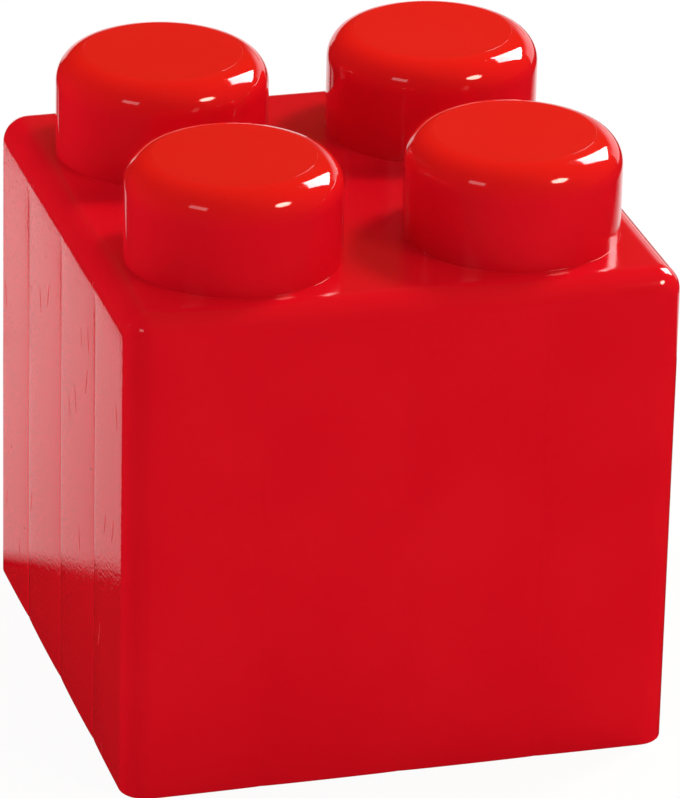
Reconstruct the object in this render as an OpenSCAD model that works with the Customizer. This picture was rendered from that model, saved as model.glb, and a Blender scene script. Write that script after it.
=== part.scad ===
// Giant building block: a deep open-bottomed moulding with round hollow studs on its deck.
// A cross-and-tube core slides up into it from below and is screwed under the deck.
// All sizes are in millimetres. The origin is at the centre of the rim plane, +Z is up
// and the front of the block faces -Y.

/* [Stud grid] */
// Number of studs along the front
studs_across = 2; // [2:1:4]
// Number of studs from front to back
studs_deep = 2; // [2:1:4]
// Distance between the centres of neighbouring studs
stud_pitch = 125; // [120:1:160]
// Play between two blocks that stand side by side on one grid
side_play = 3; // [0.5:0.5:6]

/* [Outer shell] */
// Height of the body from the rim to the deck
body_h = 227; // [150:1:300]
// Thickness of the side walls
wall_t = 3.2; // [2.4:0.1:4.5]
// Thickness of the deck
deck_t = 3.2; // [2.4:0.1:6]
// Radius of the four upright corners
corner_r = 12; // [8:0.5:25]
// Radius of the round between the walls and the deck
edge_r = 12; // [8:0.5:20]
// Radius of the small round along the outer edge of the rim
rim_r = 0.8; // [0.3:0.1:1.5]

/* [Studs] */
// Diameter of a stud
stud_d = 95; // [80:0.5:100]
// Height of a stud above the deck
stud_h = 46.5; // [30:0.5:60]
// Radius of the round at the top of a stud
stud_top_r = 14; // [6:0.5:20]
// Thickness of a stud's side and top
stud_wall_t = 3.2; // [2.4:0.1:5]
// Radius of the small fillet at the foot of a stud
stud_foot_r = 0.8; // [0.3:0.1:2]

/* [Clutch ribs] */
// Gap between a stud and the ribs and tube that hold it
clutch_play = 0.3; // [0.1:0.05:0.6]
// Thickness of the ribs on the walls that hold the studs
rib_t = 2.4; // [1.6:0.1:4]
// Height of the sloping lead-in at the foot of a rib, rail or tube
lead_h = 8; // [4:0.5:15]
// Depth of that lead-in
lead_depth = 2; // [0.5:0.1:2.5]

/* [Core] */
// Thickness of the webs of the core
web_t = 2.8; // [2:0.1:5]
// Thickness of the wall of the core's tube
tube_t = 3; // [2:0.1:5]
// Thickness of the screw plate that closes the top of the tube
plate_t = 4; // [2.5:0.1:8]
// Height of the core's foot above the rim
foot_gap = 0.5; // [0.2:0.1:2]
// Thickness of the rails that guide a web
rail_t = 2.2; // [1.6:0.1:4]
// Depth of the rails, measured from the wall
rail_depth = 9; // [6:0.5:14]
// Gap on each side of a web between its rails, and at its end
web_play = 0.3; // [0.1:0.05:0.6]

/* [Core screws] */
// Diameter of a screw's shank
screw_d = 4.8; // [3.5:0.1:6]
// Length of a screw under its head
screw_len = 18; // [14:0.5:24]
// Diameter of a screw's pan head
head_d = 10; // [8:0.1:13]
// Height of a screw's pan head
head_h = 3.2; // [2.4:0.1:5]
// Radius of the round on a screw's head
head_r = 2; // [1:0.1:2.2]
// Length of the cross recess in a screw's head
recess_l = 4.6; // [3:0.1:6]
// Width of the slots of the cross recess
recess_w = 1.2; // [0.8:0.1:1.6]
// Depth of the cross recess
recess_depth = 1.6; // [0.8:0.1:2]
// Diameter of the bosses under the deck that take the screws
boss_d = 12; // [9:0.5:16]
// Height of those bosses
boss_h = 20; // [18:0.5:30]
// Gap between the bosses and the inside of the core's tube
boss_gap = 3; // [1.5:0.5:5]
// Gap round a screw's shank in the screw plate
screw_play = 0.4; // [0.2:0.05:0.8]
// Gap round a screw's shank in its pilot hole
pilot_play = 0.05; // [0.02:0.01:0.2]
// Depth left free above a screw's tip
pilot_spare = 2; // [1:0.5:4]

/* [Hidden] */
$fn = 96;

// How far a cutting solid runs past the face that it opens
over = 1;

// Outside of the block
block_w = studs_across * stud_pitch - side_play;
block_d = studs_deep * stud_pitch - side_play;
stud_r = stud_d / 2;
top_r = min(edge_r, corner_r);

// Inside of the block
ceiling_z = body_h - deck_t;
inner_w = block_w - 2 * wall_t;
inner_d = block_d - 2 * wall_t;
inner_corner_r = corner_r - wall_t;
inner_top_r = top_r - wall_t;

// The clutch: ribs on the walls and a tube between each four studs touch the studs of a block below
grip_r = stud_r + clutch_play;
tube_r = stud_pitch / sqrt(2) - grip_r;
bore_r = tube_r - tube_t;

// Places of the studs on one axis, and of the grid lines between them
function stud_lines(count) = [for (i = [0 : count - 1]) (i - (count - 1) / 2) * stud_pitch];
function mid_lines(count) = [for (i = [1 : count - 1]) (i - count / 2) * stud_pitch];

// Screws, on a circle inside each tube, seated under the screw plate and pointing up
screw_circle_r = bore_r - boss_gap - boss_d / 2;
plate_top_z = ceiling_z - boss_h;
head_z = plate_top_z - plate_t;
pilot_depth = screw_len - plate_t + pilot_spare;
tip_h = screw_d;

red = "#cd111c";
dark_red = "#b20f1a";
steel = "#c4c6c8";

// Section through a wall's outer edge: full height, with a round at the top and one at the foot
module edge_section(reach, h, round_r, foot_r) {
    difference() {
        square([reach, h]);
        translate([reach - round_r, h - round_r])
            outside_round(round_r);
        if (foot_r > 0)
            translate([reach - foot_r, foot_r])
                mirror([0, 1])
                    outside_round(foot_r);
    }
}

// What a round takes away from a square corner
module outside_round(r) {
    difference() {
        square(r + over);
        circle(r);
    }
}

// Solid block with rounded corners in plan and a rounded top edge: a section carried round the plan
module rounded_block(w, d, h, plan_r, round_r, foot_r = 0) {
    straight_w = w - 2 * plan_r;
    straight_d = d - 2 * plan_r;
    translate([-straight_w / 2, -straight_d / 2, 0])
        cube([straight_w, straight_d, h]);
    for (turn = [0, 180]) {
        rotate(turn) {
            rounded_side(straight_d, straight_w, h, plan_r, round_r, foot_r);
            rounded_corner(straight_w, straight_d, h, plan_r, round_r, foot_r);
        }
        rotate(turn + 90) {
            rounded_side(straight_w, straight_d, h, plan_r, round_r, foot_r);
            rounded_corner(straight_d, straight_w, h, plan_r, round_r, foot_r);
        }
    }
}

// One straight side of the rounded block, on the +X face
module rounded_side(length, apart, h, plan_r, round_r, foot_r) {
    translate([apart / 2, length / 2, 0])
        rotate([90, 0, 0])
            linear_extrude(length)
                edge_section(plan_r, h, round_r, foot_r);
}

// One corner of the rounded block, at +X +Y
module rounded_corner(apart_x, apart_y, h, plan_r, round_r, foot_r) {
    translate([apart_x / 2, apart_y / 2, 0])
        rotate_extrude(angle = 90)
            edge_section(plan_r, h, round_r, foot_r);
}

// Puts a copy at each stud
module at_studs() {
    for (x = stud_lines(studs_across))
        for (y = stud_lines(studs_deep))
            translate([x, y, 0])
                children();
}

// Puts a copy at each tube of the core
module at_tubes() {
    for (x = mid_lines(studs_across))
        for (y = mid_lines(studs_deep))
            translate([x, y, 0])
                children();
}

// Puts a copy at each screw: four on a circle inside each tube
module at_screws() {
    at_tubes()
        for (turn = [45 : 90 : 315])
            rotate(turn)
                translate([screw_circle_r, 0, 0])
                    children();
}

// Puts copies of a plate on the inside of all four walls. A plate is drawn on the +X wall, at y = 0
module on_walls(lines_across, lines_deep) {
    for (turn = [0, 180]) {
        rotate(turn)
            for (y = lines_deep)
                translate([block_w / 2, y, 0])
                    children();
        rotate(turn + 90)
            for (x = lines_across)
                translate([block_d / 2, x, 0])
                    children();
    }
}

// Upright plate on the +X wall, from the middle of the wall inwards, with a lead-in at its foot
module wall_plate(depth, thickness) {
    rotate([90, 0, 0])
        translate([0, 0, -thickness / 2])
            linear_extrude(thickness)
                polygon([
                    [0, 0],
                    [-wall_t - depth + lead_depth, 0],
                    [-wall_t - depth, lead_h],
                    [-wall_t - depth, body_h],
                    [0, body_h]
                ]);
}

// Outside of a stud, from the middle of the deck up, with its top round and foot fillet
module stud_body() {
    rotate_extrude() {
        difference() {
            translate([0, ceiling_z + deck_t / 2])
                square([stud_r, stud_h + deck_t / 2]);
            translate([stud_r - stud_top_r, body_h + stud_h - stud_top_r])
                outside_round(stud_top_r);
        }
        difference() {
            translate([0, ceiling_z + deck_t / 2])
                square([stud_r + stud_foot_r, deck_t / 2 + stud_foot_r]);
            translate([stud_r + stud_foot_r, body_h + stud_foot_r])
                circle(stud_foot_r);
        }
    }
}

// Hollow inside a stud, open to the inside of the block
module stud_hollow() {
    hollow_r = stud_r - stud_wall_t;
    hollow_top = body_h + stud_h - stud_wall_t;
    hollow_round = max(stud_top_r - stud_wall_t, 1);
    rotate_extrude()
        difference() {
            translate([0, ceiling_z - over])
                square([hollow_r, hollow_top - ceiling_z + over]);
            translate([hollow_r - hollow_round, hollow_top - hollow_round])
                outside_round(hollow_round);
        }
}

// Ribs that hold the studs and pairs of rails that guide the webs, rooted half way into the walls
module wall_ribs() {
    rib_depth = (stud_pitch - side_play) / 2 - wall_t - grip_r;
    rail_off = web_t / 2 + web_play + rail_t / 2;
    intersection() {
        union() {
            on_walls(stud_lines(studs_across), stud_lines(studs_deep))
                wall_plate(rib_depth, rib_t);
            on_walls(mid_lines(studs_across), mid_lines(studs_deep))
                for (side = [-1, 1])
                    translate([0, side * rail_off, 0])
                        wall_plate(rail_depth, rail_t);
        }
        translate([0, 0, foot_gap])
            rounded_block(
                block_w - wall_t,
                block_d - wall_t,
                body_h - deck_t / 2 - foot_gap,
                corner_r - wall_t / 2,
                top_r - wall_t / 2
            );
    }
}

// The visible moulding: walls, deck and hollow studs in one even skin, ribbed and bossed inside
module outer_shell() {
    color(red)
        difference() {
            union() {
                difference() {
                    union() {
                        rounded_block(block_w, block_d, body_h, corner_r, top_r, rim_r);
                        at_studs()
                            stud_body();
                    }
                    translate([0, 0, -over])
                        rounded_block(inner_w, inner_d, ceiling_z + over, inner_corner_r, inner_top_r);
                    at_studs()
                        stud_hollow();
                }
                wall_ribs();
                at_screws()
                    translate([0, 0, plate_top_z])
                        cylinder(h = boss_h + deck_t / 2, d = boss_d);
            }
            at_screws()
                translate([0, 0, plate_top_z - over])
                    cylinder(h = pilot_depth + over, d = screw_d + 2 * pilot_play);
        }
}

// One web of the core, as long as the block is wide inside, cut back from the rounded top edge
module web(inside_l) {
    half = inside_l / 2 - web_play;
    cut = inner_top_r + web_play;
    translate([0, web_t / 2, 0])
        rotate([90, 0, 0])
            linear_extrude(web_t)
                polygon([
                    [-half, foot_gap],
                    [half, foot_gap],
                    [half, ceiling_z - cut],
                    [half - cut, ceiling_z],
                    [cut - half, ceiling_z],
                    [-half, ceiling_z - cut]
                ]);
}

// Outside of a tube, with a lead-in at its foot for the studs below
module tube_body() {
    rotate_extrude()
        polygon([
            [0, foot_gap],
            [tube_r - lead_depth, foot_gap],
            [tube_r, foot_gap + lead_h],
            [tube_r, ceiling_z],
            [0, ceiling_z]
        ]);
}

// The core: webs along the grid lines, a tube where they cross and a screw plate in each tube
module clutch_core() {
    color(dark_red)
        difference() {
            union() {
                for (y = mid_lines(studs_deep))
                    translate([0, y, 0])
                        web(inner_w);
                for (x = mid_lines(studs_across))
                    translate([x, 0, 0])
                        rotate(90)
                            web(inner_d);
                at_tubes()
                    tube_body();
            }
            at_tubes() {
                translate([0, 0, foot_gap - over])
                    cylinder(h = head_z - foot_gap + over, r = bore_r);
                translate([0, 0, plate_top_z])
                    cylinder(h = boss_h + over, r = bore_r);
            }
            at_screws()
                translate([0, 0, head_z - over])
                    cylinder(h = plate_t + 2 * over, d = screw_d + 2 * screw_play);
        }
}

// One pan-head self-tapping screw, its head seated under the screw plate
module screw() {
    difference() {
        rotate_extrude() {
            difference() {
                translate([0, -head_h])
                    square([head_d / 2, head_h]);
                translate([head_d / 2 - head_r, head_r - head_h])
                    mirror([0, 1])
                        outside_round(head_r);
            }
            square([screw_d / 2, screw_len - tip_h]);
            translate([0, screw_len - tip_h])
                polygon([[0, 0], [screw_d / 2, 0], [0, tip_h]]);
        }
        for (turn = [0, 90])
            rotate(turn)
                translate([-recess_l / 2, -recess_w / 2, -head_h - over])
                    cube([recess_l, recess_w, recess_depth + over]);
    }
}

// The screws that hold the core up against the deck
module core_screws() {
    color(steel)
        at_screws()
            translate([0, 0, head_z])
                screw();
}

outer_shell();
clutch_core();
core_screws();
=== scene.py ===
# %% [markdown]
# # A giant building block, from the mould to the studio
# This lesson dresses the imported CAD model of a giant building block: a deep, glossy red moulding with four round
# studs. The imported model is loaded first, as a fixed frame. Everything after that is in metres and in the frame's
# own axes: the front of the block faces -Y, +Z is up, and the origin is at the middle of the rim.

# %% Load the frame
from math import cos, exp, hypot, pi, radians, sin, tan

import bmesh
import bpy
from mathutils import Matrix, Vector


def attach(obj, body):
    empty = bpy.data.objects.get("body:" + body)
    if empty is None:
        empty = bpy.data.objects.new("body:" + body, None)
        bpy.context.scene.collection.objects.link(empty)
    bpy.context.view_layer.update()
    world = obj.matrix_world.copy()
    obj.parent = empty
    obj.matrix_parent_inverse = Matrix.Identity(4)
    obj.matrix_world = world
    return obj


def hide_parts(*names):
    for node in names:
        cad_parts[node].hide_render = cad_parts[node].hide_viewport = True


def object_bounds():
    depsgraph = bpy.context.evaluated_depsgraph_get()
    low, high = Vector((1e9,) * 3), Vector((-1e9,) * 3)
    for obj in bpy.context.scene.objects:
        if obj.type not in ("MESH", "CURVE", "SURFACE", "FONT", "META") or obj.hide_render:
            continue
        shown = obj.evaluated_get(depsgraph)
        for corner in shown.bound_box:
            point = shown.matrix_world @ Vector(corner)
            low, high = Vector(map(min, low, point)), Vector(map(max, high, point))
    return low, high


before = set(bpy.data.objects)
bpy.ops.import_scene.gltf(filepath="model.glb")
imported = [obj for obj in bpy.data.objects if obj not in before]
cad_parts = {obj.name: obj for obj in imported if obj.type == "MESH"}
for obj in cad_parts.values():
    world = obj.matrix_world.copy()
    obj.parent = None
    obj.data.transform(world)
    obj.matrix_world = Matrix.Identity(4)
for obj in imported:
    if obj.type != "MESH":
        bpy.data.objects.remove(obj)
cad_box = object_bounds()
scene = bpy.context.scene
MM = 0.001
print("CAD nodes:", ", ".join(sorted(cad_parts)))
print("CAD box in mm:", [[round(c / MM, 1) for c in corner] for corner in cad_box])

# %% [markdown]
# ## Camera
# The photo looks down on the block from the front left, through a long lens from almost three metres away. The
# lens length, the angles and the small roll were found by fitting the block's known edges to the photo, so they are
# plain numbers here. The lens is given in pixels of an image 798 pixels high, and turned to millimetres.

# %% Place the camera
IMAGE_H = 798
FOCAL_PX = 6408.0
SENSOR_H = 24.0
YAW, LOOK_DOWN, ROLL = -0.2831, 0.4231, 0.024
DISTANCE = 2.8674
LOOK_AT = (0.00509, 0.0, 0.12464)

camera = bpy.data.objects.new("photo_camera", bpy.data.cameras.new("photo_camera"))
scene.collection.objects.link(camera)
camera.data.sensor_fit = "VERTICAL"
camera.data.sensor_height = SENSOR_H
camera.data.lens = FOCAL_PX * SENSOR_H / IMAGE_H
turn = Matrix.Rotation(YAW, 4, "Z") @ Matrix.Rotation(pi / 2 - LOOK_DOWN, 4, "X") @ Matrix.Rotation(ROLL, 4, "Z")
camera.matrix_world = Matrix.Translation(LOOK_AT) @ turn @ Matrix.Translation((0, 0, DISTANCE))
scene.camera = camera
print("Lens:", round(camera.data.lens, 1), "mm")

# %% [markdown]
# ## The skin of the moulding
# A moulded block is an even skin: plastic fills the gap between the cavity of the mould, which forms the outside,
# and its core, which forms the inside. So one function makes a skin at a given depth below the outside, and it is
# called twice, once for each side. It starts from a cube without its floor, and a bevel rounds the upright corners
# and the edge of the deck in one go, which makes a clean ball at each corner.

# %% Sizes of the block, and a rounded box
HALF = cad_box[1][0]
STUD_TOP = cad_box[1][2]
DECK = 227 * MM
WALL = 3.2 * MM
EDGE_R = 12 * MM
PITCH = 125 * MM
FLAT = HALF - EDGE_R
ROUND_STEPS = 10


def rounded_box(bm, depth):
    """An open box, rounded at its upright corners and round its deck, with no deck and no floor."""
    half, top = HALF - depth, DECK - depth
    place = Matrix.Translation((0, 0, top / 2)) @ Matrix.Diagonal((2 * half, 2 * half, top, 1))
    bmesh.ops.create_cube(bm, size=1, matrix=place)
    floor = [f for f in bm.faces if f.normal.z < -0.5]
    bmesh.ops.delete(bm, geom=floor, context="FACES_ONLY")
    edges = [e for e in bm.edges if max(v.co.z for v in e.verts) > top / 2]
    bmesh.ops.bevel(bm, geom=edges, offset=EDGE_R - depth, offset_type="OFFSET", segments=ROUND_STEPS,
                    profile=0.5, affect="EDGES", material=-1)
    deck = [f for f in bm.faces if f.normal.z > 0.9999]
    bmesh.ops.delete(bm, geom=deck, context="FACES_ONLY")


print("Block:", round(2 * HALF / MM), "mm wide, deck at", round(DECK / MM), "mm, top at", round(STUD_TOP / MM, 1), "mm")

# %% [markdown]
# ## Columns on the walls, and a deck that fits them
# The deck is a square with four round holes, and a clean mesh goes from round to square with one ring of quads. Each
# ring starts as a circle round a stud and is cast outwards onto its quarter of the deck. The places where its
# spokes land follow from the circle's equal steps, so the walls are cut at just those places first. Then the rings
# weld to the walls and to each other.

# %% From round studs to a square deck
STEPS = 12
FOOT_R = 0.15 * MM
STUD_R = 47.5 * MM
STUDS = [Vector((sx * PITCH / 2, sy * PITCH / 2, 0)) for sy in (-1, 1) for sx in (-1, 1)]
WELD = 0.01 * MM


def cast(u, outwards):
    """How far a spoke lands from a stud's axis, for u from -1 to 1 over a quarter of the deck."""
    return u * (FLAT - PITCH / 2 if u * outwards > 0 else PITCH / 2)


def cut_all(bm, axis, places, faces=None):
    """Cuts a mesh, or some of its faces, by planes across one axis."""
    normal = Vector([float(i == axis) for i in range(3)])
    kept = set(faces or ())
    for place in places:
        picked = list(kept) if faces else bm.faces[:]
        geom = picked + list({e for f in picked for e in f.edges}) + list({v for f in picked for v in f.verts})
        out = bmesh.ops.bisect_plane(bm, geom=geom, dist=WELD, plane_co=normal * place, plane_no=normal)
        kept.update(g for g in out["geom"] if isinstance(g, bmesh.types.BMFace))
        kept = {f for f in kept if f.is_valid}


def deck_rings(bm, top):
    """Four rings of quads, each from a circle round a stud to the square of its quarter of the deck."""
    for stud in STUDS:
        place = Matrix.Translation((stud.x, stud.y, top))
        circle = bmesh.ops.create_circle(bm, cap_ends=False, segments=8 * STEPS, radius=STUD_R + FOOT_R, matrix=place)
        edges = list({e for v in circle["verts"] for e in v.link_edges})
        out = bmesh.ops.extrude_edge_only(bm, edges=edges)
        for v in [g for g in out["geom"] if isinstance(g, bmesh.types.BMVert)]:
            x, y = v.co.x - stud.x, v.co.y - stud.y
            far = max(abs(x), abs(y))
            v.co.x = stud.x + cast(x / far, stud.x)
            v.co.y = stud.y + cast(y / far, stud.y)


spokes = [tan(k * pi / 4 / STEPS) for k in range(-STEPS, STEPS)]
columns = {round(s * (PITCH / 2 + cast(u, 1)), 7) for u in spokes for s in (-1, 1)}
print("Columns on each wall:", len(columns))

# %% [markdown]
# ## Studs
# A stud is a straight tube with a big round at its top and a fine fillet at its foot. It is drawn the way a potter
# raises a wall: the hole's edge is extruded ring by ring along a profile of radius and height. The flat cap of a
# stud is formed by a separate insert in the mould, which leaves a step as fine as a hair, seen as a thin bright
# arc. The round stops just short of level there, so a soft crease frames the cap. The cap also sinks a little as the
# plastic cools.

# %% Raise the studs
TOP_R = 14 * MM
CAP_STEP = 0.05 * MM
CAP_TURN = radians(82)
CAP_SINK = 0.12 * MM
CAP_RIM = 5 * MM
CALM = 1.5 * MM
FOOT_STEPS = 4
TOP_STEPS = 14


def stud_profile(depth):
    """Radius and height of each ring of a stud, from its foot to the last ring of its cap."""
    rings = []
    for k in range(1, FOOT_STEPS + 1):
        a = k * pi / 2 / FOOT_STEPS
        rings.append((STUD_R + FOOT_R - (FOOT_R + depth) * sin(a), DECK + FOOT_R - (FOOT_R + depth) * cos(a)))
    step = 0 if depth else CAP_STEP
    round_z = STUD_TOP - TOP_R * sin(CAP_TURN) - step
    side = STUD_R - depth
    # Two rings close to the rounds keep the straight side free of their shading
    rings.append((side, rings[-1][1] + CALM))
    rings.append((side, round_z - CALM))
    for k in range(TOP_STEPS + 1):
        b = k * CAP_TURN / TOP_STEPS
        rings.append((STUD_R - TOP_R + (TOP_R - depth) * cos(b), round_z + (TOP_R - depth) * sin(b)))
    cap_r, cap_z = rings[-1][0], STUD_TOP - depth
    if step:
        rings += [(cap_r - step / 2, cap_z - step * 0.6), (cap_r - step, cap_z - step * 0.2)]
    rings += [(cap_r - 3 * CAP_STEP, cap_z), (cap_r - CAP_RIM, cap_z - CAP_SINK / 3)]
    rings += [(cap_r / 2, cap_z - CAP_SINK), (0, cap_z - CAP_SINK)]
    return rings


def raise_studs(bm, depth):
    """Extrudes the four holes of the deck along the profile of a stud."""
    for stud in STUDS:
        loop = [e for e in bm.edges if e.is_boundary
                and all(abs((v.co - stud).xy.length - STUD_R - FOOT_R) < WELD for v in e.verts)]
        radius, height = STUD_R + FOOT_R, DECK - depth
        for r, z in stud_profile(depth):
            out = bmesh.ops.extrude_edge_only(bm, edges=loop)
            verts = [g for g in out["geom"] if isinstance(g, bmesh.types.BMVert)]
            fresh = set(verts)
            loop = [g for g in out["geom"] if isinstance(g, bmesh.types.BMEdge) and fresh.issuperset(g.verts)]
            bmesh.ops.scale(bm, vec=(r / radius, r / radius, 1), space=Matrix.Translation(-stud), verts=verts)
            bmesh.ops.translate(bm, vec=(0, 0, z - height), verts=verts)
            radius, height = r, z
        bmesh.ops.remove_doubles(bm, verts=verts, dist=WELD)


print("Rings on a stud:", len(stud_profile(0)))

# %% [markdown]
# ## Sink marks
# Where a rib stands behind a wall the plastic is thicker, cools last and pulls the outside in by a few tenths of a
# millimetre. The dip is a wide, soft valley with a fine line at its bottom. On a mirror-like wall it shows as an
# upright line, dark on one flank and bright on the other. It is real shape here, not painted: the outside gets close
# columns at each rib, and its vertices move along the wall's own direction.

# %% Cut and move the outside of the walls
SINK = 0.34 * MM
SINK_REACH = 14 * MM
SINK_TIP = 0.9 * MM
SINK_AT_RIM, SINK_LOSS = 1.3, 0.6
LINE, LINE_REACH = 0.15 * MM, 1.4 * MM
SINK_COLUMNS = (0, 0.5 * MM, 1.1 * MM, 1.9 * MM, 2.9 * MM)
RIBS = (-PITCH / 2, 0, PITCH / 2)
ROWS = 12
FADE = 6 * MM


def rib_columns(bm):
    """Close columns over the ribs, on the walls and up over the round to the deck."""
    close = {rib + side * off for rib in RIBS for off in SINK_COLUMNS for side in (-1, 1)}
    for axis in (0, 1):
        sides = [f for f in bm.faces if abs(f.normal[1 - axis]) > 0.02 and abs(f.normal[axis]) < 0.02
                 and f.calc_center_median().z < DECK - WELD and f.normal.z < 0.999]
        cut_all(bm, axis, sorted(close), sides)


def sink_marks(bm):
    """Valleys over the ribs on the four flat walls, a little deeper towards the rim."""
    cut_all(bm, 2, [k * (DECK - EDGE_R) / ROWS for k in range(1, ROWS)] + [DECK - EDGE_R - FADE])
    for axis in (0, 1):
        across = 1 - axis
        for v in bm.verts:
            if abs(abs(v.co[across]) - HALF) > WELD or abs(v.co[axis]) > FLAT or v.co.z > DECK - EDGE_R:
                continue
            off = [abs(v.co[axis] - rib) for rib in RIBS]
            dip = sum(SINK * exp(-hypot(d, SINK_TIP) / SINK_REACH) + LINE * exp(-d / LINE_REACH) for d in off)
            fade = min(1, (DECK - EDGE_R - v.co.z) / FADE, (FLAT - abs(v.co[axis])) / FADE)
            v.co[across] -= (SINK_AT_RIM - SINK_LOSS * v.co.z / DECK) * dip * fade * (1 if v.co[across] > 0 else -1)


print("Sink marks:", len(RIBS), "on each wall,", round(SINK / MM, 2), "mm deep")

# %% [markdown]
# ## Both sides of the skin, joined at the rim
# The outside and the inside are made by the same steps, and their open lower edges are bridged into a flat rim. A
# small bevel breaks the rim's outer edge. A closed mesh can then have all its faces turned outwards in one call.

# %% Make the shell
RIM_R, RIM_STEPS = 0.8 * MM, 3
shell_bm = bmesh.new()
for depth in (0, WALL):
    bm = bmesh.new()
    rounded_box(bm, depth)
    for axis in (0, 1):
        cut_all(bm, axis, columns)
    deck_rings(bm, DECK - depth)
    bmesh.ops.remove_doubles(bm, verts=bm.verts, dist=WELD)
    raise_studs(bm, depth)
    bmesh.ops.recalc_face_normals(bm, faces=bm.faces)
    rib_columns(bm)
    if depth == 0:
        sink_marks(bm)
    else:
        bmesh.ops.reverse_faces(bm, faces=bm.faces)
    side = bpy.data.meshes.new("side")
    bm.to_mesh(side)
    bm.free()
    shell_bm.from_mesh(side)
    bpy.data.meshes.remove(side)
print("Open edges before the rim:", sum(e.is_boundary for e in shell_bm.edges))

# %% Close the rim
rim = [e for e in shell_bm.edges if e.is_boundary]
bmesh.ops.bridge_loops(shell_bm, edges=rim)
bmesh.ops.recalc_face_normals(shell_bm, faces=shell_bm.faces)
outer_rim = [e for e in rim if all(max(abs(v.co.x), abs(v.co.y)) > FLAT for v in e.verts)
             and any(abs(f.normal.z) < 0.5 and f.normal.dot(f.calc_center_median()) > 0 for f in e.link_faces)]
bmesh.ops.bevel(shell_bm, geom=outer_rim, offset=RIM_R, offset_type="OFFSET", segments=RIM_STEPS, profile=0.5,
                affect="EDGES", material=-1)
print("Rim edges:", len(outer_rim), "open edges left:", sum(e.is_boundary for e in shell_bm.edges),
      "volume in cm3:", round(shell_bm.calc_volume() * 1e6, 1))

# %% [markdown]
# ## Ribs, rails and bosses
# Turned over, the block shows what the sink marks hint at. Two ribs on each wall grip the studs of a block below,
# a pair of rails at the middle of each wall guides the core, and four bosses under the deck take its screws. They
# are slots in the mould's core, so they are one with the skin. Each plate is a side outline that is extruded to its
# thickness, each boss is a spun section, and one Boolean joins them to the skin, so that no faces stay inside.

# %% Draw the plates and bosses
LEAD, LEAD_H = 2 * MM, 8 * MM
FOOT_GAP = 0.5 * MM
ROOT = WALL / 2
RIB_TIP, RIB_T = 110.3 * MM, 2.4 * MM
RAIL_TIP, RAIL_T, RAIL_OFF = 111.3 * MM, 2.2 * MM, 2.8 * MM
ARC_STEPS = 5


def wall_plate(bm, tip, thick, along, turned):
    """An upright plate on one wall, rooted half way into the skin, with a sloping lead-in at its foot."""
    outline = [(HALF - ROOT, FOOT_GAP), (tip + LEAD, FOOT_GAP), (tip, LEAD_H), (tip, DECK - ROOT)]
    for k in range(ARC_STEPS, -1, -1):
        a = k * pi / 2 / ARC_STEPS
        outline.append((FLAT + (EDGE_R - ROOT) * cos(a), DECK - EDGE_R + (EDGE_R - ROOT) * sin(a)))
    start = [bm.verts.new((x, along - thick / 2, z)) for x, z in outline]
    out = bmesh.ops.extrude_face_region(bm, geom=[bm.faces.new(start)])
    moved = [g for g in out["geom"] if isinstance(g, bmesh.types.BMVert)]
    bmesh.ops.translate(bm, vec=(0, thick, 0), verts=moved)
    bmesh.ops.rotate(bm, cent=(0, 0, 0), matrix=Matrix.Rotation(turned, 3, "Z"), verts=start + moved)


BOSS_R, BOSS_FOOT, PILOT_R, PILOT_TOP = 6 * MM, 203.8 * MM, 2.45 * MM, 219.8 * MM
SCREW_CIRCLE = 28.588 * MM
BOSS_STEPS = 32


def boss(bm, turned):
    """A round boss under the deck with a blind hole for a screw."""
    axis = Matrix.Rotation(turned, 3, "Z") @ Vector((SCREW_CIRCLE, 0, 0))
    section = [(0, PILOT_TOP), (PILOT_R, PILOT_TOP), (PILOT_R, BOSS_FOOT), (BOSS_R, BOSS_FOOT),
               (BOSS_R, DECK - ROOT), (0, DECK - ROOT)]
    verts = [bm.verts.new(axis + Vector((r, 0, z))) for r, z in section]
    edges = [bm.edges.new(pair) for pair in zip(verts, verts[1:])]
    bmesh.ops.spin(bm, geom=verts + edges, cent=axis, axis=(0, 0, 1), angle=2 * pi, steps=BOSS_STEPS, use_merge=True)


ribs_bm = bmesh.new()
for quarter in range(4):
    turned = quarter * pi / 2
    for along in (-PITCH / 2, PITCH / 2):
        wall_plate(ribs_bm, RIB_TIP, RIB_T, along, turned)
    for along in (-RAIL_OFF, RAIL_OFF):
        wall_plate(ribs_bm, RAIL_TIP, RAIL_T, along, turned)
    boss(ribs_bm, turned + pi / 4)
bmesh.ops.remove_doubles(ribs_bm, verts=ribs_bm.verts, dist=WELD)
bmesh.ops.recalc_face_normals(ribs_bm, faces=ribs_bm.faces)
print("Plates and bosses:", len(ribs_bm.faces), "faces, open edges:", sum(not e.is_manifold for e in ribs_bm.edges))

# %% Join them to the skin
SHARP = radians(32)


def mesh_object(name, bm):
    """Turns a finished bmesh into an object at the origin."""
    mesh = bpy.data.meshes.new(name)
    bm.to_mesh(mesh)
    bm.free()
    made = bpy.data.objects.new(name, mesh)
    scene.collection.objects.link(made)
    return made


shell = mesh_object("moulded_shell", shell_bm)
ribs = mesh_object("ribs", ribs_bm)
join = shell.modifiers.new("join_ribs", "BOOLEAN")
join.operation = "UNION"
join.solver = "EXACT"
join.object = ribs
bpy.context.view_layer.update()
joined = bpy.data.meshes.new_from_object(shell.evaluated_get(bpy.context.evaluated_depsgraph_get()))
shell.modifiers.remove(join)
shell.data = joined
bpy.data.objects.remove(ribs)
shell.data.shade_smooth()
shell.data.set_sharp_from_angle(angle=SHARP)
flats = shell.modifiers.new("flats_stay_flat", "WEIGHTED_NORMAL")
flats.keep_sharp = True
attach(shell, "root")
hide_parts("outer_shell")
print("Shell:", len(shell.data.polygons), "faces")

# %% [markdown]
# ## Two small helpers for materials
# Colours are written as sRGB hex values, as a paint card gives them, and one function turns them to the linear
# values that shaders take. A second function adds a node, sets it up and links it, so that each material below
# reads from top to bottom.

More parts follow.
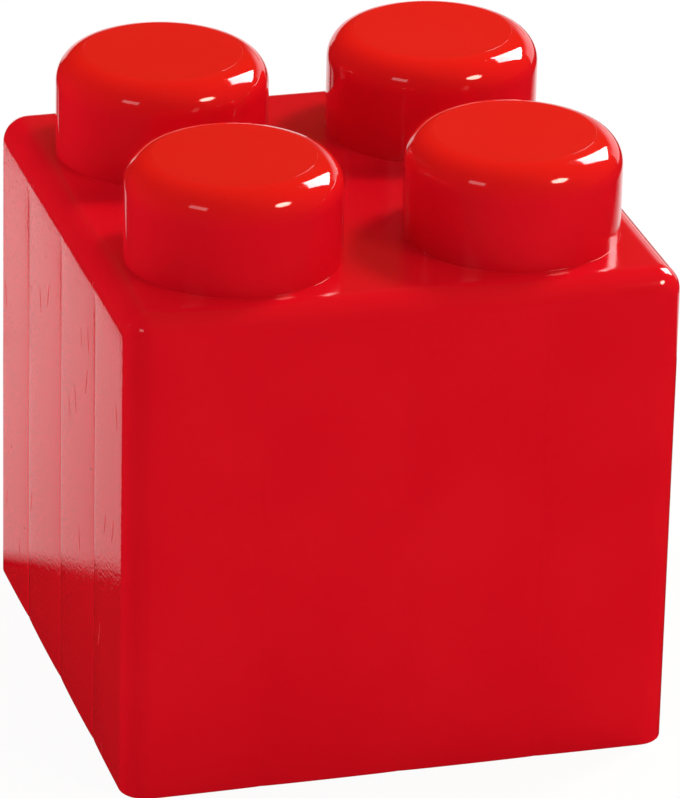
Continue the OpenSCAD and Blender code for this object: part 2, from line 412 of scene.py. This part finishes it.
# %% Colour and node helpers


def colour(code):
    """An sRGB hex colour as linear RGBA."""
    parts = [int(code[i:i + 2], 16) / 255 for i in (1, 3, 5)]
    return tuple(c / 12.92 if c <= 0.04045 else ((c + 0.055) / 1.055) ** 2.4 for c in parts) + (1.0,)


def add(tree, kind, links=None, **settings):
    """Adds a node: settings are its properties, and links gives each socket a value or another node's output."""
    node = tree.nodes.new(kind)
    for name, value in settings.items():
        setattr(node, name, value)
    for name, value in (links or {}).items():
        if isinstance(value, bpy.types.NodeSocket):
            tree.links.new(value, node.inputs[name])
        else:
            node.inputs[name].default_value = value
    return node


def new_material(name):
    """An empty node material and its tree."""
    made = bpy.data.materials.new(name)
    made.use_nodes = True
    made.node_tree.nodes.clear()
    return made, made.node_tree


print("The lighter red of the block, linear:", [round(c, 4) for c in colour("#d40c1c")[:3]])

# %% [markdown]
# ## The red plastic
# The block is moulded in ABS against a polished steel cavity, so its skin is a near mirror with a soft, even red
# under it. Close to, the mirror isn't perfect. The plastic leaves the steel with a faint orange peel, which bends the
# edges of reflections. The flats that face up are a little duller. The caps are painted a shade more orange, a painted
# glow that stands in for how the strong light on them turns the red towards orange. The left wall is the most rubbed
# one, with a fine grain, a few specks and scratches that break the reflections. All of this comes from noise, cell
# patterns and height on the block's own coordinates, so it stays in place from every side.

# %% Moulded gloss ABS: its patterns
PEEL = 7 * MM
SWELL = 38 * MM
# The real grain is about a third of this: it is drawn coarser so that it shows, and wider than it is high
FINE = 3 * MM
SQUAT = 2.2

abs_red, tree = new_material("moulded_gloss_abs_red")
coords = add(tree, "ShaderNodeTexCoord")
place = coords.outputs["Object"]
where = add(tree, "ShaderNodeSeparateXYZ", {0: place})
facing = add(tree, "ShaderNodeSeparateXYZ", {0: coords.outputs["Normal"]})
flat = add(tree, "ShaderNodeMapRange", {"Value": facing.outputs["Z"], "From Min": 0.93, "From Max": 0.999})
peel = add(tree, "ShaderNodeTexNoise", {"Vector": place, "Scale": 1 / PEEL, "Detail": 2.0, "Roughness": 0.45})
swell = add(tree, "ShaderNodeTexNoise", {"Vector": place, "Scale": 1 / SWELL, "Detail": 1.0, "Roughness": 0.4})
grit = add(tree, "ShaderNodeMapping", {"Vector": place, "Scale": (1 / FINE, 1 / FINE, SQUAT / FINE)})
fine = add(tree, "ShaderNodeTexNoise", {"Vector": grit.outputs[0], "Scale": 1.0, "Detail": 1.0})
print("Patterns in mm: peel", round(PEEL / MM), "grain", round(FINE / MM), "swell", round(SWELL / MM))

# %% Moulded gloss ABS: wear on the left wall
SPECK, SPECK_R = 14 * MM, 0.7 * MM
SCRATCH_APART, SCRATCH_L, SCRATCH_R = 6 * MM, 60 * MM, 0.66 * MM
SCRATCH_TURNS = (16, -13)
# The share of cells that stay without a mark
SPARED = 0.6
RUBBED_X = 0.5 * MM - HALF

rubbed = add(tree, "ShaderNodeMath", {0: where.outputs["X"], 1: RUBBED_X}, operation="LESS_THAN")
cells = add(tree, "ShaderNodeTexVoronoi", {"Vector": place, "Scale": 1 / SPECK}, feature="F1")
pick = add(tree, "ShaderNodeMath", {0: cells.outputs["Color"], 1: SPARED}, operation="GREATER_THAN")
dot = add(tree, "ShaderNodeMath", {0: cells.outputs["Distance"], 1: SPECK_R / SPECK}, operation="LESS_THAN")
speck = add(tree, "ShaderNodeMath", {0: pick.outputs[0], 1: dot.outputs[0]}, operation="MULTIPLY")
# Scratches are long cells in two directions, about 1 mm wide: drawn wider than real ones so that they show
worn_spots = speck
for turn in SCRATCH_TURNS:
    slant = add(tree, "ShaderNodeMapping", {"Vector": place, "Rotation": (radians(turn), 0, 0),
                                            "Scale": (SCRATCH_APART, SCRATCH_APART, SCRATCH_L)}, vector_type="TEXTURE")
    hairs = add(tree, "ShaderNodeTexVoronoi", {"Vector": slant.outputs[0], "Scale": 1.0}, feature="F1")
    few = add(tree, "ShaderNodeMath", {0: hairs.outputs["Color"], 1: SPARED}, operation="GREATER_THAN")
    thin = add(tree, "ShaderNodeMath", {0: hairs.outputs["Distance"], 1: SCRATCH_R / SCRATCH_APART},
               operation="LESS_THAN")
    scratch = add(tree, "ShaderNodeMath", {0: thin.outputs[0], 1: few.outputs[0]}, operation="MULTIPLY")
    worn_spots = add(tree, "ShaderNodeMath", {0: scratch.outputs[0], 1: worn_spots.outputs[0]}, operation="MAXIMUM")
marks = add(tree, "ShaderNodeMath", {0: worn_spots.outputs[0], 1: rubbed.outputs[0]}, operation="MULTIPLY")
stained = add(tree, "ShaderNodeMath", {0: speck.outputs[0], 1: rubbed.outputs[0]}, operation="MULTIPLY")
print("Scratches in", len(SCRATCH_TURNS), "directions, specks in cells of", round(SPECK / MM), "mm")

# %% Moulded gloss ABS: colour, gloss and relief
CAP_FROM, CAP_TO = 258 * MM, 273 * MM
MARK_ROUGH, FLAT_ROUGH = 0.5, 0.12

tint = add(tree, "ShaderNodeMix", {"Factor": swell.outputs["Fac"], "A": colour("#cc0a1b"), "B": colour("#d40c1c")},
           data_type="RGBA")
# Painted light: from CAP_FROM upwards the red is mixed towards orange, a painted glow for the strong light on the caps
painted_glow_on_caps = add(tree, "ShaderNodeMapRange", {"Value": where.outputs["Z"], "From Min": CAP_FROM, "From Max": CAP_TO})
tint_and_painted_cap_glow = add(tree, "ShaderNodeMix", {"Factor": painted_glow_on_caps.outputs[0], "A": tint.outputs["Result"], "B": colour("#d51812")},
           data_type="RGBA")
marked = add(tree, "ShaderNodeMix", {"Factor": stained.outputs[0], "A": tint_and_painted_cap_glow.outputs["Result"],
                                     "B": colour("#6a0a10")}, data_type="RGBA")
# A polished cavity gives a roughness near 0.06, the flats that face up a little more, and marks much more
gloss = add(tree, "ShaderNodeMapRange", {"Value": swell.outputs["Fac"], "From Min": 0.3, "From Max": 0.7,
                                         "To Min": 0.04, "To Max": 0.075})
dull = add(tree, "ShaderNodeMath", {0: marks.outputs[0], 1: MARK_ROUGH, 2: gloss.outputs[0]},
           operation="MULTIPLY_ADD")
satin = add(tree, "ShaderNodeMath", {0: flat.outputs[0], 1: FLAT_ROUGH, 2: dull.outputs[0]},
            operation="MULTIPLY_ADD")
waves = add(tree, "ShaderNodeBump", {"Height": swell.outputs["Fac"], "Strength": 1.0, "Distance": 0.03 * MM})
peeled = add(tree, "ShaderNodeBump", {"Height": peel.outputs["Fac"], "Strength": 1.0, "Distance": 0.012 * MM,
                                      "Normal": waves.outputs["Normal"]})
gritty = add(tree, "ShaderNodeMapRange", {"Value": rubbed.outputs[0], "To Min": 0.08, "To Max": 1.0})
grained = add(tree, "ShaderNodeBump", {"Height": fine.outputs["Fac"], "Strength": gritty.outputs[0],
                                       "Distance": 0.1 * MM, "Normal": peeled.outputs["Normal"]})
cut = add(tree, "ShaderNodeBump", {"Height": marks.outputs[0], "Strength": 0.4, "Distance": 0.02 * MM,
                                   "Normal": grained.outputs["Normal"]}, invert=True)
plastic = add(tree, "ShaderNodeBsdfPrincipled", {
    "Base Color": marked.outputs["Result"], "Roughness": satin.outputs[0], "IOR": 1.54,
    "Normal": cut.outputs["Normal"]})
add(tree, "ShaderNodeOutputMaterial", {"Surface": plastic.outputs["BSDF"]})
shell.data.materials.clear()
shell.data.materials.append(abs_red)
print("Material on the shell:", abs_red.name)

# %% [markdown]
# ## The core and its screws
# These two keep their CAD meshes, because their shapes are right as they are. The core is moulded in the same ABS,
# but against a cavity that was only fine ground, so it is duller and slightly grained. The screws are steel with a
# bright zinc plating, which has a faint crystalline blotch.

# %% Fine-ground ABS and zinc-plated steel
GRAIN = 1.2 * MM
abs_core, tree = new_material("fine_ground_abs_red")
place = add(tree, "ShaderNodeTexCoord").outputs["Object"]
grain = add(tree, "ShaderNodeTexNoise", {"Vector": place, "Scale": 1 / GRAIN, "Detail": 3.0})
cloud = add(tree, "ShaderNodeTexNoise", {"Vector": place, "Scale": 1 / SWELL, "Detail": 2.0})
tint = add(tree, "ShaderNodeMix", {"Factor": cloud.outputs["Fac"], "A": colour("#b00d18"), "B": colour("#bd101b")},
           data_type="RGBA")
gloss = add(tree, "ShaderNodeMapRange", {"Value": grain.outputs["Fac"], "To Min": 0.28, "To Max": 0.44})
rough = add(tree, "ShaderNodeBump", {"Height": grain.outputs["Fac"], "Strength": 1.0, "Distance": 0.02 * MM})
plastic = add(tree, "ShaderNodeBsdfPrincipled", {
    "Base Color": tint.outputs["Result"], "Roughness": gloss.outputs[0], "IOR": 1.54,
    "Normal": rough.outputs["Normal"]})
add(tree, "ShaderNodeOutputMaterial", {"Surface": plastic.outputs["BSDF"]})

BLOTCH = 1.5 * MM
zinc, tree = new_material("zinc_plated_steel")
place = add(tree, "ShaderNodeTexCoord").outputs["Object"]
blotch = add(tree, "ShaderNodeTexVoronoi", {"Vector": place, "Scale": 1 / BLOTCH}, feature="SMOOTH_F1")
tint = add(tree, "ShaderNodeMix", {"Factor": blotch.outputs["Distance"], "A": colour("#b9bcc0"),
                                   "B": colour("#d3d4d2")}, data_type="RGBA")
gloss = add(tree, "ShaderNodeMapRange", {"Value": blotch.outputs["Distance"], "To Min": 0.22, "To Max": 0.36})
metal = add(tree, "ShaderNodeBsdfPrincipled", {
    "Base Color": tint.outputs["Result"], "Roughness": gloss.outputs[0], "Metallic": 1.0})
add(tree, "ShaderNodeOutputMaterial", {"Surface": metal.outputs["BSDF"]})

for name, finish in (("clutch_core", abs_core), ("core_screws", zinc)):
    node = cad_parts[name]
    node.data.materials.clear()
    node.data.materials.append(finish)
print("Core and screws:", abs_core.name, zinc.name)

# %% [markdown]
# ## The floor
# The block stands on a plain pale floor. The camera sees it as almost white, with the block's soft shadow left in. A
# glossy wall is a mirror, and in the photo the front of the block mirrors a dark room, so the floor is dark to
# glossy rays.

# %% Floor
FLOOR_SIZE = 12.0
WHITE_SHARE = 0.93
floor_bm = bmesh.new()
bmesh.ops.create_grid(floor_bm, x_segments=1, y_segments=1, size=FLOOR_SIZE / 2)
floor = mesh_object("studio_floor", floor_bm)
paper, tree = new_material("pale_paper")
path = add(tree, "ShaderNodeLightPath")
white = add(tree, "ShaderNodeEmission", {"Color": colour("#ffffff"), "Strength": 1.0})
dark = add(tree, "ShaderNodeEmission", {"Color": colour("#1c1710"), "Strength": 1.0})
matt = add(tree, "ShaderNodeBsdfDiffuse", {"Color": colour("#f4f4f4")})
share = add(tree, "ShaderNodeMath", {0: path.outputs["Is Camera Ray"], 1: WHITE_SHARE}, operation="MULTIPLY")
seen = add(tree, "ShaderNodeMixShader", {0: share.outputs[0], 1: matt.outputs[0], 2: white.outputs[0]})
both = add(tree, "ShaderNodeMixShader", {0: path.outputs["Is Glossy Ray"], 1: seen.outputs[0], 2: dark.outputs[0]})
add(tree, "ShaderNodeOutputMaterial", {"Surface": both.outputs[0]})
floor.data.materials.append(paper)
print("Floor:", FLOOR_SIZE, "m wide")

# %% [markdown]
# ## White sheets for the reflections
# In the photo the left wall mirrors a white floor behind the block, down to the slanting edge of the block's own
# shadow, and the rounds mirror white walls further back. So white sheets lie and stand round the block that only
# glossy rays see: they light nothing and cast no shadow. Their strength is a product of soft edges, each of which
# rises along one direction.

# %% Sheets that only a mirror sees
LEFT_SHEET = [(-0.04, 0.165, MM), (-0.195, 0.077, MM), (-0.285, 0.36, MM), (-0.285, 0.98, MM)]
BACK_SHEET = [(-0.18, 0.36, MM), (0.14, 0.36, MM), (0.64, 0.05, MM), (0.64, 4.0, MM), (-0.18, 4.0, MM)]
BACK_CARD = [(-0.35, 2.0, MM), (1.15, 1.58, MM), (1.15, 1.58, 0.4), (-0.35, 2.0, 0.4)]
RIGHT_CARD = [(0.75, 1.9, MM), (1.9, 1.0, MM), (1.9, 1.0, 0.85), (0.75, 1.9, 0.85)]


def glossy_sheet(name, outline):
    """A flat glowing sheet that only mirror-like surfaces see: a painted reflection. Returns the tree and the place for
    its glow.
    """
    sheet_bm = bmesh.new()
    sheet_bm.faces.new([sheet_bm.verts.new(corner) for corner in outline])
    sheet = mesh_object(name, sheet_bm)
    glow, tree = new_material("painted_reflection_" + name)
    sheet.data.materials.append(glow)
    for kind in ("camera", "diffuse", "transmission", "volume_scatter", "shadow"):
        setattr(sheet, "visible_" + kind, False)
    return tree, add(tree, "ShaderNodeTexCoord").outputs["Object"]


def glow_from(tree, levels):
    """Multiplies soft edges into the strength of a white glow."""
    strength = levels[0]
    for level in levels[1:]:
        strength = add(tree, "ShaderNodeMath", {0: strength, 1: level}, operation="MULTIPLY").outputs[0]
    bright = add(tree, "ShaderNodeEmission", {"Color": colour("#ffffff"), "Strength": strength})
    add(tree, "ShaderNodeOutputMaterial", {"Surface": bright.outputs[0]})


def soft_edge(tree, place, direction, start, end, low=0.0, high=1.0):
    """Rises from low to high between two distances along a direction."""
    along = add(tree, "ShaderNodeVectorMath", {0: place, 1: direction}, operation="DOT_PRODUCT")
    rise = add(tree, "ShaderNodeMapRange", {"Value": along.outputs["Value"], "From Min": start, "From Max": end,
                                            "To Min": low, "To Max": high})
    return rise.outputs[0]


# Painted shadow and shade: the left sheet stops at the slanting edge of the block's shadow and dims towards the block,
# so the left wall's reflection shows both
tree, place = glossy_sheet("left_sheet", LEFT_SHEET)
glow_from(tree, [soft_edge(tree, place, (1.6, 0.85, 0), -0.64, 0.31, 0.0, 0.9),
                 soft_edge(tree, place, (-0.493, 0.87, 0), 0.167, 0.181),
                 soft_edge(tree, place, (-0.96, -0.279, 0), 0.0, 0.06),
                 soft_edge(tree, place, (1, 0, 0), -0.285, -0.245)])
tree, place = glossy_sheet("back_sheet", BACK_SHEET)
glow_from(tree, [soft_edge(tree, place, (1, 0, 0), -0.18, -0.11), soft_edge(tree, place, (-1, 0, 0), -0.63, -0.5)])
tree, place = glossy_sheet("back_card", BACK_CARD)
glow_from(tree, [soft_edge(tree, place, (0, 0, -1), -0.4, -0.28)])
tree, place = glossy_sheet("right_card", RIGHT_CARD)
glow_from(tree, [soft_edge(tree, place, (1, 0, 0), 0.75, 1.1), soft_edge(tree, place, (0, 0, -1), -0.85, -0.55)])

# %% [markdown]
# ## The room
# A white room gives the even light that fills the shadows. The camera sees it as a plain white background. Glossy
# rays see a dim, warm room instead, a little brighter towards the upper right, which is what the flats of the block
# mirror.

# %% World
SKY_SIDE = (0.8, 0.0, 0.6)
ROOM_LIGHT = 0.64
world = bpy.data.worlds.new("studio")
scene.world = world
world.use_nodes = True
tree = world.node_tree
tree.nodes.clear()
path = add(tree, "ShaderNodeLightPath")
sky = add(tree, "ShaderNodeTexCoord").outputs["Generated"]
warmth = soft_edge(tree, sky, SKY_SIDE, 0.05, 0.65, 0.05, 0.42)
room = add(tree, "ShaderNodeBackground", {"Color": colour("#ffffff"), "Strength": ROOM_LIGHT})
dim = add(tree, "ShaderNodeBackground", {"Color": colour("#6e5818"), "Strength": warmth})
back = add(tree, "ShaderNodeBackground", {"Color": colour("#ffffff"), "Strength": 1.0})
mirror = add(tree, "ShaderNodeMixShader", {0: path.outputs["Is Glossy Ray"], 1: room.outputs[0], 2: dim.outputs[0]})
view = add(tree, "ShaderNodeMixShader", {0: path.outputs["Is Camera Ray"], 1: mirror.outputs[0], 2: back.outputs[0]})
add(tree, "ShaderNodeOutputWorld", {"Surface": view.outputs[0]})
print("World:", world.name)

# %% [markdown]
# ## Lights
# The highlights on the rounds of the studs give the lamps away: a tall, tilted soft box at the right and slightly
# behind, a small round lamp at the front right and a weak one at the front left. The shadows on the deck ask for a
# smaller and higher light at the right than the highlight shows. So the soft box is made of two things: a bright card
# that only glossy rays see, and a lamp that gives no highlight. A fill at the left behind, which gives no highlight
# either, lifts the left wall. Each is a panel that faces the block, placed by its direction from it.

# %% Lamps
AIM = Vector((0, 0, 0.25))
LAMP_FAR, FILL_FAR = 1.6, 1.4
KEY_W, KEY_H = 0.6, 0.82
KEY_GLOW = 14.0


def facing_block(azimuth, elevation, distance, turned=0):
    """A place that faces the block. Azimuth 0 is in front of it and 90 at its right; turned spins the panel."""
    az, el = radians(azimuth), radians(elevation)
    direction = Vector((sin(az) * cos(el), -cos(az) * cos(el), sin(el)))
    facing = direction.to_track_quat("Z", "Y").to_matrix().to_4x4() @ Matrix.Rotation(radians(turned), 4, "Z")
    return Matrix.Translation(AIM + direction * distance) @ facing


def lamp(name, place, size, power, tint, shape="RECTANGLE"):
    """A soft lamp of a given size and power."""
    data = bpy.data.lights.new(name, "AREA")
    data.shape = shape
    data.size, data.size_y = size
    data.energy = power
    data.color = colour(tint)[:3]
    made = bpy.data.objects.new(name, data)
    scene.collection.objects.link(made)
    made.matrix_world = place
    return made


# The key card is a painted highlight: a glow that only glossy rays see, where the soft box shows
panel = facing_block(114, 33.5, LAMP_FAR, turned=15)
corners = [panel @ Vector((x * KEY_W / 2, y * KEY_H / 2, 0)) for x, y in ((-1, -1), (1, -1), (1, 1), (-1, 1))]
tree, place = glossy_sheet("key_card", corners)
glow_from(tree, [KEY_GLOW])
key = lamp("key_box", facing_block(113, 49, LAMP_FAR), (0.3, 0.3), 16.3, "#fff8ec")
lamp("small_lamp", facing_block(40, 36, LAMP_FAR), (0.46, 0.34), 7.2, "#fff0dd", shape="ELLIPSE")
lamp("weak_lamp", facing_block(-54, 30, LAMP_FAR), (0.47, 0.27), 0.9, "#ffffff")
left_fill = lamp("left_fill", facing_block(-124, 8, FILL_FAR), (1.0, 0.5), 9.4, "#ffffff")
for matt_lamp in (key, left_fill):
    matt_lamp.visible_glossy = False
scene.view_settings.view_transform = "Standard"
